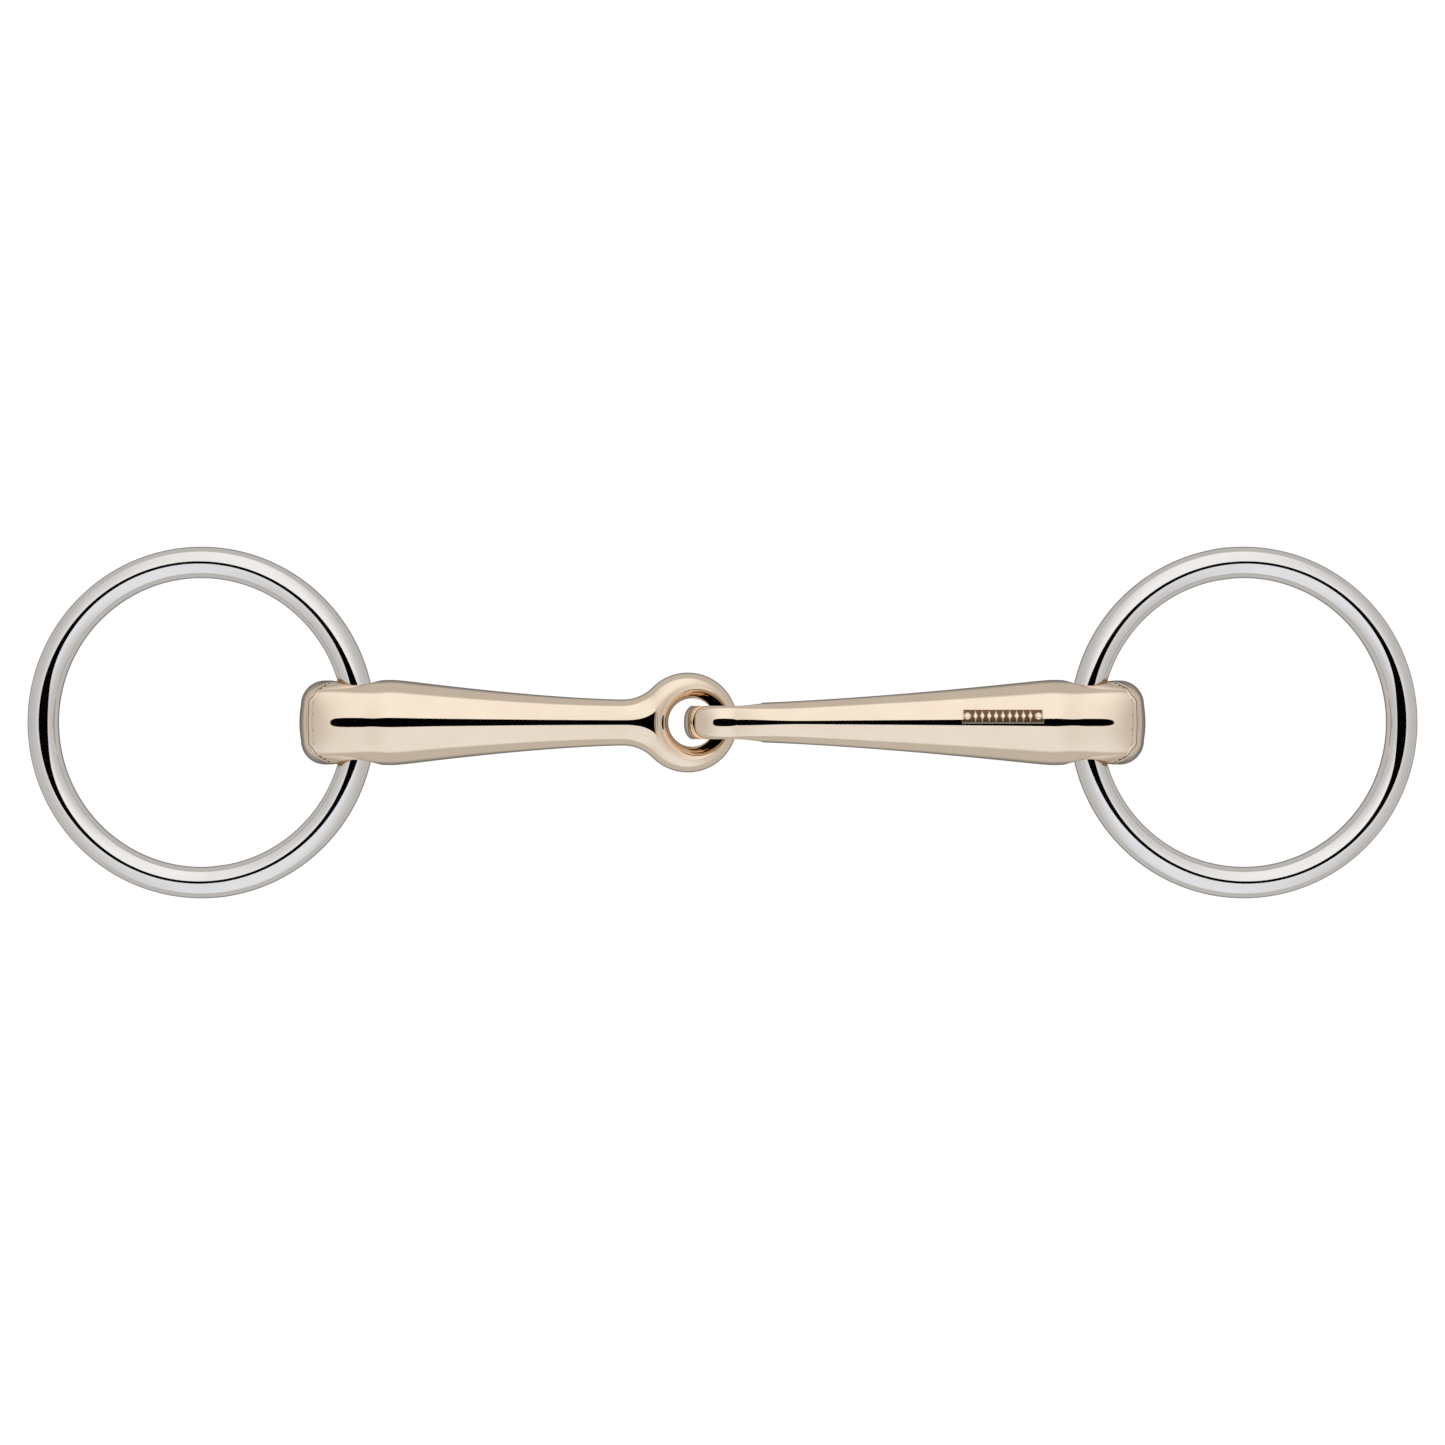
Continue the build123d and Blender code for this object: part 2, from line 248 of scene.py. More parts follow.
def cut(piece, tool, operation):
    """Cuts one closed mesh with another and throws the tool away."""
    carve = piece.modifiers.new("cut", "BOOLEAN")
    carve.operation = operation
    carve.solver = "EXACT"
    carve.material_mode = "TRANSFER"
    carve.object = tool
    bpy.context.view_layer.update()
    result = bpy.data.meshes.new_from_object(piece.evaluated_get(bpy.context.evaluated_depsgraph_get()))
    piece.modifiers.clear()
    piece.data = result
    bpy.data.objects.remove(tool)


def slope(function, points):
    """Unit direction in which a function of points grows fastest, by central difference."""
    parts = []
    for axis in range(3):
        step = np.zeros(3)
        step[axis] = CURVE_STEP
        parts.append(function(points + step) - function(points - step))
    gradient = np.stack(parts, axis=-1)
    return gradient / np.maximum(np.linalg.norm(gradient, axis=-1, keepdims=True), TINY)


def depth(function, points):
    """Distance of points from where a function is nought: its value over its steepness."""
    steep = np.zeros(len(points))
    for axis in range(3):
        step = np.zeros(3)
        step[axis] = CURVE_STEP
        steep += ((function(points + step) - function(points - step)) / (2 * CURVE_STEP)) ** 2
    return function(points) / np.sqrt(np.maximum(steep, TINY))


# ---------------------------------------------------------------- the shape of one cannon


class Cannon:
    """One arm, in its own coordinates: s from the butt's end along the arch, y, and t towards the front."""

    def __init__(self, side, eye_radius, blend, tip_wall, eye_x, eye_height, faces_front,
                 squareness, eye_squareness):
        self.side = side
        self.eye_radius = eye_radius
        self.blend = blend
        self.faces_front = faces_front
        self.squareness = squareness
        self.eye_squareness = eye_squareness
        run = BORE_X - side * eye_x
        rise = eye_height - BORE_HEIGHT
        half_sweep = math.asin(math.hypot(run, rise) / 2 / ARCH_RADIUS)
        self.start = math.atan2(rise, run) + half_sweep
        self.eye_at = BORE_INSET + 2 * ARCH_RADIUS * half_sweep
        self.blend_start = math.sqrt((eye_radius + blend) ** 2 - (NECK_HALF + blend) ** 2)
        self.neck_at = self.eye_at - self.blend_start
        self.hole_at = self.eye_at + eye_radius - tip_wall - THROAT

    def centre_line(self, s):
        """Angle, x and height of the arched centre line; it runs on straight past the eye's centre."""
        angle = self.start - (np.minimum(s, self.eye_at) - BORE_INSET) / ARCH_RADIUS
        past = np.maximum(s - self.eye_at, 0)
        x = BORE_X - ARCH_RADIUS * (math.sin(self.start) - np.sin(angle)) - past * np.cos(angle)
        z = BORE_HEIGHT + ARCH_RADIUS * (np.cos(angle) - math.cos(self.start)) + past * np.sin(angle)
        return angle, x, z

    def place(self, s, y, t):
        """Points in the model's frame, in millimetres, from the cannon's own coordinates."""
        angle, x, z = self.centre_line(s)
        return np.stack([self.side * (x + t * np.sin(angle)), y + 0 * s, z + t * np.cos(angle)], axis=-1)

    def own(self, points):
        """The cannon's own coordinates of points in the model's frame."""
        x = self.side * points[..., 0] - (BORE_X - ARCH_RADIUS * math.sin(self.start))
        z = points[..., 2] - (BORE_HEIGHT - ARCH_RADIUS * math.cos(self.start))
        s = BORE_INSET + (self.start - np.arctan2(x, z)) * ARCH_RADIUS
        t = np.hypot(x, z) - ARCH_RADIUS
        angle, eye_x, eye_z = self.centre_line(self.eye_at)
        from_x = self.side * points[..., 0] - eye_x
        from_z = points[..., 2] - eye_z
        past = -from_x * math.cos(angle) + from_z * math.sin(angle)
        above = from_x * math.sin(angle) + from_z * math.cos(angle)
        return np.where(past > 0, self.eye_at + past, s), points[..., 1], np.where(past > 0, above, t)

    def taper(self, s, end, end_half):
        """Half size from the swell down to a later place: a power of the share that is left."""
        rounded = np.hypot(np.maximum(s - SWELL_AT, 0), SWELL_ROUNDING) - SWELL_ROUNDING
        whole = math.hypot(end - SWELL_AT, SWELL_ROUNDING) - SWELL_ROUNDING
        return end_half + (SWELL - end_half) * (1 - np.clip(rounded / whole, 0, 1)) ** TAPER_POWER

    def section(self, s):
        """Half sizes along y and t, exponent, and the width of flat, at distances up to the eye's centre.

        A section is a superellipse parted in the eye's plane by a flat, which grows from nought at the neck
        until the eye's rim is as round as the eye is thick.
        """
        crown_slope = (WAIST - BUTT_CROWN) / WAIST_AT
        crown_end = BUTT_CROWN + crown_slope * CROWN_ENDS_AT
        to_swell = through(s, [(CROWN_ENDS_AT, crown_end, crown_slope), (WAIST_AT, WAIST, 0),
                               (SWELL_AT, SWELL, 0)])
        high = np.where(s < CROWN_ENDS_AT, BUTT_CROWN + crown_slope * s, to_swell)
        rolled = np.maximum(BUTT_ROLL - s, 0) / (BUTT_ROLL + BUTT_OVERHANG)
        roll = BUTT_THICK - BUTT_FALL * rolled ** BUTT_ROLL_POWER
        deep = np.where(s < WAIST_AT, roll, through(s, [(WAIST_AT, BUTT_THICK, 0), (SWELL_AT, SWELL, 0)]))

        before = np.clip(self.eye_at - s, 0, None)
        meeting = self.blend_start * self.eye_radius / (self.eye_radius + self.blend)
        in_blend = np.clip(self.blend_start - before, 0, self.blend)
        flank = NECK_HALF + self.blend - np.sqrt(self.blend ** 2 - in_blend ** 2)
        round_part = np.sqrt(np.maximum(self.eye_radius ** 2 - before ** 2, 0))
        eye = np.where(before >= meeting, flank, round_part)
        wide = np.where(s < self.neck_at, self.taper(s, self.neck_at, NECK_HALF), eye)
        thick = self.taper(s, self.eye_at, EYE_HALF)
        along_y, along_t = (wide, thick) if self.faces_front else (thick, wide)
        share = smooth((s - self.neck_at) / (self.eye_at - self.neck_at))
        exponent = (self.squareness + (self.eye_squareness - self.squareness) * share
                    + BUTT_SQUARER * (1 - smooth(s / SQUARER_FADE)))
        flat = share * np.maximum(wide - EYE_HALF, 0)
        return np.where(s < SWELL_AT, high, along_y), np.where(s < SWELL_AT, deep, along_t), exponent, flat

    def skin(self, points):
        """Below nought inside: superellipse sections, and past the eye's centre one turned round it."""
        s, y, t = self.own(points)
        half_y, half_t, exponent, flat = self.section(np.minimum(s, self.eye_at))
        past = np.maximum(s - self.eye_at, 0)
        across, axial = (y, t) if self.faces_front else (t, y)
        wide, thick = (half_y, half_t) if self.faces_front else (half_t, half_y)
        across = np.maximum(np.hypot(across, past) - flat, 0) / (wide - flat)
        return (across ** exponent + (np.abs(axial) / thick) ** exponent) ** (1 / exponent) - 1

    def front(self, s, y):
        """Height t of the skin over the middle plane, before the flat begins."""
        half_y, half_t, exponent = self.section(s)[:3]
        return half_t * np.maximum(1 - (np.abs(y) / half_y) ** exponent, 0) ** (1 / exponent)

    def bore(self, points):
        """Grows into the bore: its radius, opening by an arc at both mouths, less the distance off axis."""
        from_axis = np.hypot(self.side * points[..., 0] - BORE_X, points[..., 2] - BORE_HEIGHT)
        into_mouth = np.clip(np.abs(points[..., 1]) - BORE_MOUTH, 0, MOUTH_ARC * MOUTH_SHORT)
        return BORE_RADIUS + MOUTH_ARC - np.sqrt(MOUTH_ARC ** 2 - into_mouth ** 2) - from_axis

    def hole(self, points):
        """Grows into the eye's hole: the hourglass radius at a depth, less the distance off its axis."""
        s, y, t = self.own(points)
        across, axial = (y, t) if self.faces_front else (t, y)
        axial = np.clip(axial, -EYE_HALF, EYE_HALF)
        radius = THROAT + HOLE_ARC - np.sqrt(HOLE_ARC ** 2 - axial ** 2)
        return radius - np.hypot(s - self.hole_at, across)


LEFT = Cannon(side=-1, eye_radius=9.5, blend=8.0, tip_wall=4.1, eye_x=-6.6, eye_height=8.25,
              faces_front=True, squareness=2.1, eye_squareness=2.1)
RIGHT = Cannon(side=1, eye_radius=7.8, blend=28.0, tip_wall=3.2, eye_x=0.47, eye_height=7.85,
               faces_front=False, squareness=2.0, eye_squareness=2.6)


def band_outline(inset):
    """Points s, y of the butt's outline shrunk by an inset: domed end, corner arcs, sides running out.

    The inset is one number, or an array with a last axis of one or of one value for each point.
    """
    straight = BUTT_HALF - BUTT_CORNER
    y_end = np.linspace(0, 1, END_POINTS) * straight
    s_end = BUTT_END_DOME * (y_end / straight) ** 2
    angle = np.linspace(0, math.pi / 2, CORNER_POINTS)[1:]
    side_s = np.linspace(BUTT_END_DOME + BUTT_CORNER, BAND_RELEASE, SIDE_POINTS)[1:]
    in_s = np.concatenate([1 + 0 * y_end, np.cos(angle), 0 * side_s])
    in_y = np.concatenate([0 * y_end, np.sin(angle), 1 + 0 * side_s])
    base_s = np.concatenate([s_end, BUTT_END_DOME + BUTT_CORNER * (1 - np.cos(angle)), side_s])
    base_y = np.concatenate([y_end, straight + BUTT_CORNER * np.sin(angle), BUTT_HALF + 0 * side_s])
    base_s, in_s = (np.concatenate([half[:0:-1], half]) for half in (base_s, in_s))
    base_y, in_y = (np.concatenate([-half[:0:-1], half]) for half in (base_y, in_y))
    return base_s + in_s * inset, base_y - in_y * inset


def band_fall(t):
    """Fall of the side band at a depth: a rounded roof and a shallow parabola."""
    return BAND_LEAN * (np.hypot(t, BAND_RIDGE) - BAND_RIDGE) + BAND_BULGE * t * t


def crease_line(arm):
    """For each point of the outline: the share of fall left, and s, y, t of the crease beside the skin."""
    left = 1 - smooth((band_outline(0)[0] - BAND_FADE_AT) / (BAND_RELEASE - BAND_FADE_AT))
    inset = left
    for _ in range(CREASE_ROUNDS):
        s, y = band_outline(inset)
        t = np.maximum(arm.front(s, y), BAND_LEAST)
        inset = left * (BAND_SHOULDER + band_fall(t))
    return left, s, y, t


def cannon_blank(arm):
    """The whole outer skin as one grid: sections along the arch, then the last one turned about the eye."""
    first = -BUTT_OVERHANG
    near = np.linspace(0, 1, NEAR_STEPS) ** NEAR_CROWDING * (CROWN_ENDS_AT - first) + first
    s = np.concatenate([near, np.linspace(CROWN_ENDS_AT, arm.eye_at, ALONG_STEPS)[1:]])[:, None]
    angle = np.linspace(0, 2 * math.pi, AROUND_STEPS, endpoint=False)[None, :]
    half_y, half_t, exponent, flat = arm.section(s)
    wide, thick = (half_y, half_t) if arm.faces_front else (half_t, half_y)
    across = wide * np.cos(angle)
    share = np.clip((np.abs(across) - flat) / (wide - flat), 0, 1)
    axial = np.sign(np.sin(angle)) * thick * (1 - share ** exponent) ** (1 / exponent)
    axial = np.where(np.abs(np.sin(angle)) < 1e-9, 0, axial)
    y, t = (across, axial) if arm.faces_front else (axial, across)
    turn = np.linspace(0, math.pi / 2, TIP_STEPS)[1:, None]
    if arm.faces_front:
        tip_s = arm.eye_at + np.abs(y[-1]) * np.sin(turn)
        tip_y, tip_t = y[-1] * np.cos(turn), t[-1] + 0 * turn
    else:
        tip_s = arm.eye_at + np.abs(t[-1]) * np.sin(turn)
        tip_y, tip_t = y[-1] + 0 * turn, t[-1] * np.cos(turn)
    s = np.concatenate([s + 0 * y, tip_s])
    points = arm.place(s, np.concatenate([y, tip_y]), np.concatenate([t, tip_t]))
    faces = grid_faces(len(s), AROUND_STEPS)
    faces.append(list(range(AROUND_STEPS)))
    return solid("blank", points, faces)


def band_block(arm):
    """Everything inside the side band: the outline at many depths, and wide of the arm past the butt.

    With depth t the outline shrinks by the band's fall, and by a high power of t over the crease's depth.
    """
    t = np.linspace(-BAND_REACH, BAND_REACH, DEPTH_ROWS)[:, None]
    left, crease_t = (crease_line(arm)[index] for index in (0, 3))
    share = np.minimum(np.abs(t) / crease_t, BAND_PAST_CREASE)
    s, y = band_outline(left * (band_fall(share * crease_t) + BAND_SHOULDER * share ** BAND_SHOULDER_POWER))
    rows = np.ones((len(t), 1))
    far_s = np.array([BAND_RELEASE + BAND_RUN_OUT, BLOCK_LENGTH])
    far_y = np.array([BUTT_HALF + BAND_RUN_OUT, BUTT_HALF + BAND_RUN_OUT])
    s = np.concatenate([rows * far_s[::-1], s, rows * far_s], axis=1)
    y = np.concatenate([-rows * far_y[::-1], y, rows * far_y], axis=1)
    points = arm.place(np.minimum(s, SWELL_AT), y, t + 0 * s)
    points[..., 0] -= arm.side * np.maximum(s - SWELL_AT, 0)
    count = s.shape[1]
    faces = grid_faces(len(t), count)
    faces.append(list(range(count)))
    faces.append(list(range((len(t) - 1) * count, len(t) * count)))
    return solid("band", points, faces)


def turned(name, radii, places, centre, axis):
    """A closed solid of revolution: radii at places along an axis through a centre."""
    angle = np.linspace(0, 2 * math.pi, HOLE_STEPS, endpoint=False)
    other = np.cross(axis, (0.0, 1.0, 0.0)) if abs(axis[1]) < 0.5 else np.array([1.0, 0.0, 0.0])
    third = np.cross(axis, other)
    ring = np.cos(angle)[None, :, None] * other + np.sin(angle)[None, :, None] * third
    points = centre + places[:, None, None] * axis + radii[:, None, None] * ring
    faces = grid_faces(len(places), HOLE_STEPS)
    faces.append(list(range(HOLE_STEPS)))
    faces.append(list(range((len(places) - 1) * HOLE_STEPS, len(places) * HOLE_STEPS)))
    return solid(name, points, faces)


def bore_tool(arm):
    """The bore's solid: a straight middle and two trumpet mouths, each a quarter circle's flare."""
    mouth = np.linspace(0, math.pi / 2, MOUTH_STEPS)[1:-1]
    half_places = np.concatenate([np.linspace(0, BORE_MOUTH, BORE_STEPS),
                                  BORE_MOUTH + MOUTH_ARC * np.sin(mouth)])
    half_radii = np.concatenate([np.full(BORE_STEPS, BORE_RADIUS),
                                 BORE_RADIUS + MOUTH_ARC * (1 - np.cos(mouth))])
    places = np.concatenate([-half_places[:0:-1], half_places])
    radii = np.concatenate([half_radii[:0:-1], half_radii])
    centre = np.array([arm.side * BORE_X, 0, BORE_HEIGHT])
    return turned("bore", radii, places, centre, np.array([0.0, 1.0, 0.0]))


def hole_tool(arm):
    """The hole's solid: an hourglass turned from an arc, running straight on past both rims."""
    past_rim = EYE_HALF + HOLE_OVERRUN
    places = np.concatenate([[-past_rim], np.linspace(-EYE_HALF, EYE_HALF, HOLE_ROWS), [past_rim]])
    radii = THROAT + HOLE_ARC - np.sqrt(HOLE_ARC ** 2 - np.clip(places, -EYE_HALF, EYE_HALF) ** 2)
    centre = arm.place(np.array(arm.hole_at), np.array(0.0), np.array(0.0))
    front = arm.place(np.array(arm.hole_at), np.array(0.0), np.array(1.0)) - centre
    axis = front if arm.faces_front else np.array([0.0, 1.0, 0.0])
    return turned("hole", radii, places, centre, axis)


def true_normals(piece, arm):
    """Gives every corner the exact direction of the surface that its face was cut from.

    The cuts leave each face the material named after its surface. Edges between two surfaces are sharp.
    The corners also get a painted shade value that darkens the colour where shade falls: 1 in the bore, a
    little in the hole, fading over the skin beside.
    """
    mesh = piece.data
    names = [material.name for material in mesh.materials]
    count = len(mesh.polygons)
    kind = np.empty(count, dtype=np.int32)
    corners = np.empty(count, dtype=np.int32)
    loops = np.empty(len(mesh.loops), dtype=np.int32)
    edges = np.empty(len(mesh.loops), dtype=np.int32)
    points = np.empty(len(mesh.vertices) * 3)
    mesh.polygons.foreach_get("material_index", kind)
    mesh.polygons.foreach_get("loop_total", corners)
    mesh.loops.foreach_get("vertex_index", loops)
    mesh.loops.foreach_get("edge_index", edges)
    mesh.vertices.foreach_get("co", points)
    kind = np.repeat(kind, corners)
    at = points.reshape(-1, 3)[loops] / MM

    lowest = np.full(len(mesh.edges), 99)
    highest = np.full(len(mesh.edges), -1)
    np.minimum.at(lowest, edges, kind)
    np.maximum.at(highest, edges, kind)
    mesh.shade_smooth()
    mesh.attributes.new("sharp_edge", "BOOLEAN", "EDGE").data.foreach_set("value", lowest != highest)
    smoothed = np.empty(len(mesh.loops) * 3)
    mesh.corner_normals.foreach_get("vector", smoothed)
    smoothed = smoothed.reshape(-1, 3)
    normals = smoothed.copy()
    for name, surface in (("blank", arm.skin), ("bore", arm.bore), ("hole", arm.hole)):
        chosen = kind == names.index(name)
        normals[chosen] = slope(surface, at[chosen])
    agreement = np.sum(normals * smoothed, axis=1, keepdims=True)
    normals = np.where(agreement < LEAST_AGREEMENT, smoothed, normals)
    mesh.normals_split_custom_set(normals.tolist())

    # painted shade on the skin: a darker colour fading out from the bore's and the hole's mouths
    beside_bore = BESIDE_BORE * np.exp(-np.abs(depth(arm.bore, at)) / BESIDE_BORE_REACH)
    beside_hole = BESIDE_HOLE * np.exp(-np.abs(depth(arm.hole, at)) / BESIDE_HOLE_REACH)
    skin_shade = np.maximum(beside_bore, beside_hole)
    in_bore, in_hole = kind == names.index("bore"), kind == names.index("hole")
    painted_shade = np.where(in_bore, 1.0, np.where(in_hole, HOLE_SHADE, skin_shade))
    mesh.attributes.new("painted_shade", "FLOAT", "CORNER").data.foreach_set("value", painted_shade)
    mesh.materials.clear()
    mesh.polygons.foreach_set("material_index", np.zeros(count, dtype=np.int32))


def make_cannon(name, arm):
    """The skin of one cannon, cut to the side band's outline and by the tools of its bore and its hole."""
    piece = cannon_blank(arm)
    piece.name = name + "_polished"
    cut(piece, band_block(arm), "INTERSECT")
    cut(piece, bore_tool(arm), "DIFFERENCE")
    cut(piece, hole_tool(arm), "DIFFERENCE")
    piece.data.name = piece.name
    true_normals(piece, arm)
    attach(piece, name)
    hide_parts(name)
    return piece


def make_crease(name, arm, front):
    """A fine round seam where rolled face and side band meet: a small circle carried along the crease,
    coloured dark brown as painted shade of the crease.
    """
    s, y, t = crease_line(arm)[1:]
    path = arm.place(s, y, front * t)
    along = np.gradient(path, axis=0)
    along /= np.linalg.norm(along, axis=1, keepdims=True)
    out = slope(arm.skin, path)
    across = np.cross(along, out)
    angle = np.linspace(0, 2 * math.pi, SEAM_STEPS, endpoint=False)
    from_end = np.minimum(np.arange(len(path)), np.arange(len(path))[::-1])
    fade = np.sqrt(np.clip(from_end / CREASE_FADE, CREASE_THINNEST, 1))
    radius = (CREASE_RADIUS * fade)[:, None, None]
    sunk = path - out * CREASE_RADIUS * CREASE_SINK
    points = sunk[:, None] + radius * (np.cos(angle)[None, :, None] * across[:, None]
                                       + np.sin(angle)[None, :, None] * out[:, None])
    faces = grid_faces(len(path), SEAM_STEPS)
    faces.append(list(range(SEAM_STEPS)))
    faces.append(list(range((len(path) - 1) * SEAM_STEPS, len(path) * SEAM_STEPS)))
    piece = solid(name, points, faces)
    piece.data.materials.clear()
    return piece


def make_panel(name, arm, lift, margin, relief):
    """A stamped panel: its height over the skin is a sum of lozenges and two beads on a low plate."""
    u, v = np.meshgrid(np.linspace(0, 1, PANEL_ROWS), np.linspace(0, 1, PANEL_COLUMNS), indexing="ij")
    s = PANEL_START + u * (PANEL_END - PANEL_START)
    y = PANEL_LOW + v * (PANEL_HIGH - PANEL_LOW)
    middle = (PANEL_LOW + PANEL_HIGH) / 2
    half = (PANEL_HIGH - PANEL_LOW) / 2
    edge = np.minimum(np.minimum(s - PANEL_START, PANEL_END - s), half - np.abs(y - middle))
    plate = -PANEL_DEPTH + (PANEL_DEPTH + lift) * smooth((edge - margin) / PANEL_EDGE)
    pitch = (PANEL_END - PANEL_START - 2 * BEAD_ROOM) / LOZENGES
    along = (s - PANEL_START - BEAD_ROOM) / pitch
    in_row = (along > 0) & (along < LOZENGES)
    lozenge = 1 - np.abs(along % 1 - 0.5) / LOZENGE_HALF - np.abs(y - middle) / (half - LOZENGE_CLEAR)
    row = np.where(in_row, RELIEF * smooth(lozenge / RELIEF_BEVEL), 0)
    beads = 0
    for centre in (PANEL_START + BEAD_ROOM / 2 + BEAD_SHIFT, PANEL_END - BEAD_ROOM / 2 - BEAD_SHIFT):
        away = np.hypot(s - centre, y - middle)
        beads = beads + RELIEF * smooth((BEAD_RADIUS - away) / RELIEF_BEVEL)
    height = plate + relief * (row + beads)
    skin = arm.front(s, y)
    top = arm.place(s, y, skin + height)
    under = arm.place(s, y, skin - PANEL_DEPTH)
    rows, columns = u.shape
    row_index, column_index = np.meshgrid(np.arange(rows - 1), np.arange(columns - 1), indexing="ij")
    first = row_index * columns + column_index
    quads = np.stack([first, first + columns, first + columns + 1, first + 1], axis=-1).reshape(-1, 4)
    faces = quads.tolist() + (quads[:, ::-1] + rows * columns).tolist()
    piece = solid(name, np.concatenate([top.reshape(-1, 3), under.reshape(-1, 3)]), faces)
    piece.data.materials.clear()
    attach(piece, "right_cannon")
    return piece


def make_ring(name, body, side, weld_at):
    """Round wire: a circle carried round a circle, a trace thicker at the dressed weld."""
    sagitta = RING_RADIUS - math.sqrt(RING_RADIUS ** 2 - (WAIST_SPAN / 2) ** 2)
    sine = (BORE_HEIGHT - WIRE_RADIUS) / (2 * RING_RADIUS - sagitta / 2)
    outward = np.array([side * math.sqrt(1 - sine ** 2), 0, -sine])
    centre = np.array([side * BORE_X, 0, BORE_HEIGHT]) + outward * (RING_RADIUS - sagitta / 2)
    forward = np.array([0.0, 1.0, 0.0])
    facing = np.cross(outward, forward)
    turn = np.linspace(0, 2 * math.pi, RING_STEPS, endpoint=False)[:, None]
    angle = np.linspace(0, 2 * math.pi, WIRE_STEPS, endpoint=False)[None, :]
    away = (turn - weld_at + math.pi) % (2 * math.pi) - math.pi
    wire = WIRE_RADIUS + WELD_SWELL * np.exp(-(away / WELD_WIDTH) ** 2)
    radial = np.cos(turn)[..., None] * outward + np.sin(turn)[..., None] * forward
    points = (centre + (RING_RADIUS + wire * np.cos(angle))[..., None] * radial
              + (wire * np.sin(angle))[..., None] * facing)
    piece = solid(name, points, grid_faces(RING_STEPS, WIRE_STEPS, closed_rows=True))
    piece.data.materials.clear()
    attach(piece, body)
    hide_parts(body)
    return piece


# ---------------------------------------------------------------- materials


def new_material(name):
    material = bpy.data.materials.new(name)
    material.use_nodes = True
    material.node_tree.nodes.clear()
    return material, material.node_tree.nodes, material.node_tree.links


def polish_group():
    """What polishing leaves on metal: slow waves, fine lines one way, cloudy smudges and a few specks."""
    group = bpy.data.node_groups.new("polish_marks", "ShaderNodeTree")
    face = group.interface
    face.new_socket("Coordinates", in_out="INPUT", socket_type="NodeSocketVector")
    face.new_socket("Line Stretch", in_out="INPUT", socket_type="NodeSocketVector")
    face.new_socket("Roughness", in_out="INPUT", socket_type="NodeSocketFloat")
    face.new_socket("Smudge", in_out="INPUT", socket_type="NodeSocketFloat")
    face.new_socket("Roughness", in_out="OUTPUT", socket_type="NodeSocketFloat")
    face.new_socket("Height", in_out="OUTPUT", socket_type="NodeSocketFloat")
    face.new_socket("Cloud", in_out="OUTPUT", socket_type="NodeSocketFloat")
    nodes, links = group.nodes, group.links
    given = nodes.new("NodeGroupInput")
    result = nodes.new("NodeGroupOutput")

    def noise(scale, detail, vector):
        texture = nodes.new("ShaderNodeTexNoise")
        texture.inputs["Scale"].default_value = scale
        texture.inputs["Detail"].default_value = detail
        links.new(vector, texture.inputs["Vector"])
        return texture.outputs["Fac"]

    def maths(operation, first, second):
        node = nodes.new("ShaderNodeMath")
        node.operation = operation
        for value, socket in ((first, node.inputs[0]), (second, node.inputs[1])):
            if isinstance(value, (int, float)):
                socket.default_value = value
            else:
                links.new(value, socket)
        return node.outputs[0]

    stretch = nodes.new("ShaderNodeVectorMath")
    stretch.operation = "MULTIPLY"
    links.new(given.outputs["Coordinates"], stretch.inputs[0])
    links.new(given.outputs["Line Stretch"], stretch.inputs[1])
    waves = noise(WAVE_SCALE, 0, given.outputs["Coordinates"])
    lines = noise(1, LINE_DETAIL, stretch.outputs[0])
    clouds = noise(CLOUD_SCALE, CLOUD_DETAIL, given.outputs["Coordinates"])
    specks = noise(SPECK_SCALE, 1, given.outputs["Coordinates"])
    few_specks = maths("MULTIPLY", maths("GREATER_THAN", specks, SPECK_LEVEL), SPECK_ROUGHNESS)
    cloudy = maths("MULTIPLY", maths("SUBTRACT", clouds, 0.5), given.outputs["Smudge"])
    rough = maths("ADD", maths("ADD", given.outputs["Roughness"], cloudy), few_specks)
    links.new(maths("MAXIMUM", rough, LEAST_ROUGHNESS), result.inputs["Roughness"])
    links.new(maths("ADD", waves, maths("MULTIPLY", lines, LINE_HEIGHT)), result.inputs["Height"])
    links.new(clouds, result.inputs["Cloud"])
    return group


